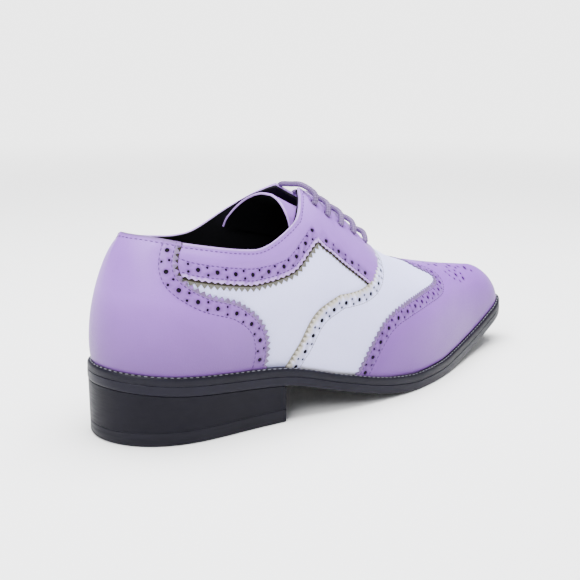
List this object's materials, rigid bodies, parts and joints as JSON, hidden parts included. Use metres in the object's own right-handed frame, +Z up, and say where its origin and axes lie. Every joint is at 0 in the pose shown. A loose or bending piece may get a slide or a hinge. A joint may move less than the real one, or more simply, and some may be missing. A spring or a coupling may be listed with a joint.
{
  "type": "spectator shoe",
  "caption": "Right low-heeled oxford with a winged toe cap, closed lacing over a tongue, a welted sole and a stacked heel.",
  "frame": {"origin": "middle of the outsole's length and breadth, on the floor", "axes": "+X from heel to toe, +Z up, -Y towards the outer (lateral) side of a right foot"},
  "size_m": [0.29, 0.0953, 0.116],
  "materials": {
    "lavender_leather": "smooth semi-gloss leather",
    "white_leather": "smooth semi-gloss leather",
    "lining": "matt black lining leather",
    "sole_edge": "satin dressed edge",
    "welt": "satin, stitched",
    "heel": "satin stacked heel",
    "heel_rubber": "matt rubber",
    "lace": "round braided cord"
  },
  "bodies": {
    "root": {"outsole": "sole_edge", "welt": "welt", "heel_stack": "heel", "heel_top_lift": "heel_rubber", "insole": "lining", "upper": "white_leather", "vamp": "white_leather", "wing_cap": "lavender_leather", "counter": "lavender_leather", "collar_lateral": "lavender_leather", "collar_medial": "lavender_leather", "tongue": "lavender_leather", "lace_bar_1": "lace", "lace_bar_2": "lace", "lace_bar_3": "lace", "lace_bar_4": "lace", "lace_bar_5": "lace"}
  },
  "joints": []
}
